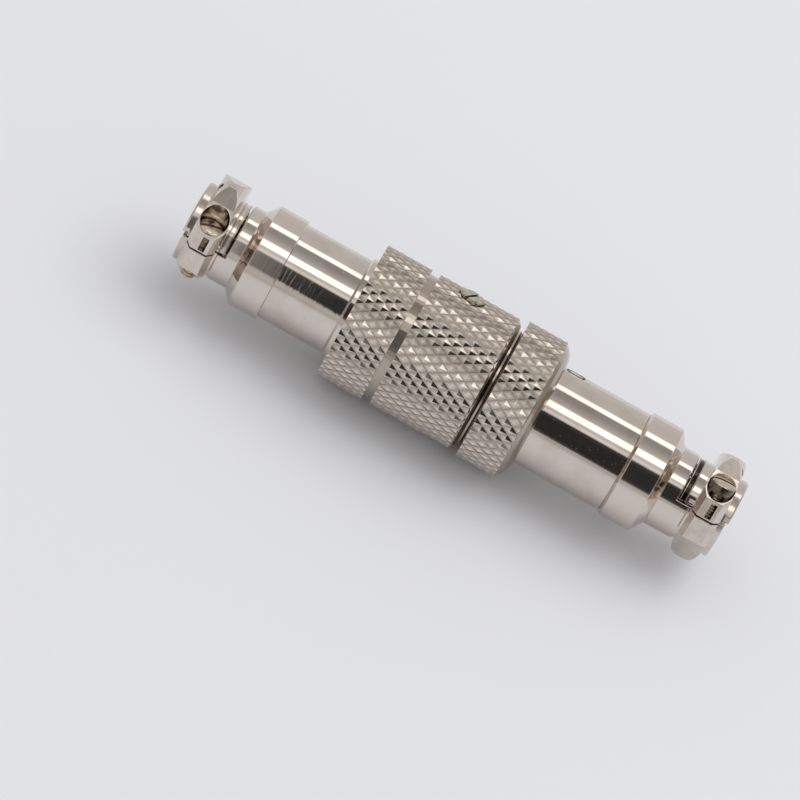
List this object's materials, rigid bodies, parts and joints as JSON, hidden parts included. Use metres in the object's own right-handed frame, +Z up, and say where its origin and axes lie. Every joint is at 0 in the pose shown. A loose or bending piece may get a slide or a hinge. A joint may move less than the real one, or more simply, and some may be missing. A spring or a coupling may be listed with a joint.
{
  "type": "aviation plug connector",
  "caption": "Mated in-line circular connector: knurled receptacle shell and coupling nut, stepped back shells, and a screw-down cable clamp on each end.",
  "frame": {"origin": "under the middle of the mated length, on the surface that the coupling nut rests on", "axes": "+X along the connector from the receptacle's cable clamp to the plug's, +Z up, the receptacle clamp's screw heads up"},
  "size_m": [0.0768, 0.0192, 0.0192],
  "materials": {
    "nickel_plate": "bright nickel plate on turned metal",
    "cast_nickel_plate": "bright nickel plate on cast metal, slightly uneven",
    "screw_steel": "nickel-plated steel screws",
    "brass_screw": "dull yellowish plated set screw",
    "insulator_plastic": "matt moulded insulator",
    "contact_plate": "plated brass contacts"
  },
  "bodies": {
    "receptacle": {"receptacle_shell": "nickel_plate", "receptacle_barrel": "nickel_plate", "receptacle_tail": "cast_nickel_plate", "pin_insulator": "insulator_plastic", "pin_contact_1": "contact_plate", "pin_contact_2": "contact_plate", "pin_contact_3": "contact_plate", "pin_contact_4": "contact_plate", "receptacle_set_screw": "brass_screw"},
    "receptacle_clamp": {"receptacle_saddle": "cast_nickel_plate"},
    "receptacle_near_clamp_screw": {"receptacle_near_screw": "screw_steel"},
    "receptacle_far_clamp_screw": {"receptacle_far_screw": "screw_steel"},
    "plug": {"plug_sleeve": "nickel_plate", "plug_barrel": "nickel_plate", "plug_tail": "cast_nickel_plate", "socket_insulator": "insulator_plastic", "socket_contact_1": "contact_plate", "socket_contact_2": "contact_plate", "socket_contact_3": "contact_plate", "socket_contact_4": "contact_plate", "plug_set_screw": "screw_steel"},
    "nut": {"coupling_nut": "nickel_plate"},
    "plug_clamp": {"plug_saddle": "cast_nickel_plate"},
    "plug_near_clamp_screw": {"plug_near_screw": "screw_steel"},
    "plug_far_clamp_screw": {"plug_far_screw": "screw_steel"}
  },
  "joints": [
    {"name": "plug_withdraw", "type": "slide", "parent": "receptacle", "child": "plug", "axis": [1, 0, 0], "range_m": [0, 0.004]},
    {"name": "nut_turn", "type": "hinge", "parent": "plug", "child": "nut", "pos_m": [0.008, 0, 0.0096], "axis": [1, 0, 0], "range_deg": [0, 1440]},
    {"name": "receptacle_clamp_lift", "type": "slide", "parent": "receptacle", "child": "receptacle_clamp", "axis": [0, 0.1219, 0.9925], "range_m": [-0.0002, 0.0012]},
    {"name": "receptacle_near_screw_turn", "type": "hinge", "parent": "receptacle_clamp", "child": "receptacle_near_clamp_screw", "pos_m": [-0.0354, -0.00445, 0.01518], "axis": [0, 0.1219, 0.9925], "range_deg": [-180, 1080]},
    {"name": "receptacle_far_screw_turn", "type": "hinge", "parent": "receptacle_clamp", "child": "receptacle_far_clamp_screw", "pos_m": [-0.0354, 0.00567, 0.01394], "axis": [0, 0.1219, 0.9925], "range_deg": [-180, 1080]},
    {"name": "plug_clamp_lift", "type": "slide", "parent": "plug", "child": "plug_clamp", "axis": [0, 0.3746, 0.9272], "range_m": [-0.0002, 0.0012]},
    {"name": "plug_near_screw_turn", "type": "hinge", "parent": "plug_clamp", "child": "plug_near_clamp_screw", "pos_m": [0.0354, -0.00286, 0.01615], "axis": [0, 0.3746, 0.9272], "range_deg": [-180, 1080]},
    {"name": "plug_far_screw_turn", "type": "hinge", "parent": "plug_clamp", "child": "plug_far_clamp_screw", "pos_m": [0.0354, 0.0066, 0.01232], "axis": [0, 0.3746, 0.9272], "range_deg": [-180, 1080]}
  ],
  "couplings": [
    {"joint": "nut_turn", "follows": "plug_withdraw", "rad_per_m": 6283.2},
    {"joint": "receptacle_near_screw_turn", "follows": "receptacle_clamp_lift", "rad_per_m": 15708},
    {"joint": "receptacle_far_screw_turn", "follows": "receptacle_clamp_lift", "rad_per_m": 15708},
    {"joint": "plug_far_screw_turn", "follows": "plug_clamp_lift", "rad_per_m": 15708},
    {"joint": "plug_near_screw_turn", "follows": "plug_clamp_lift", "rad_per_m": 15708}
  ]
}
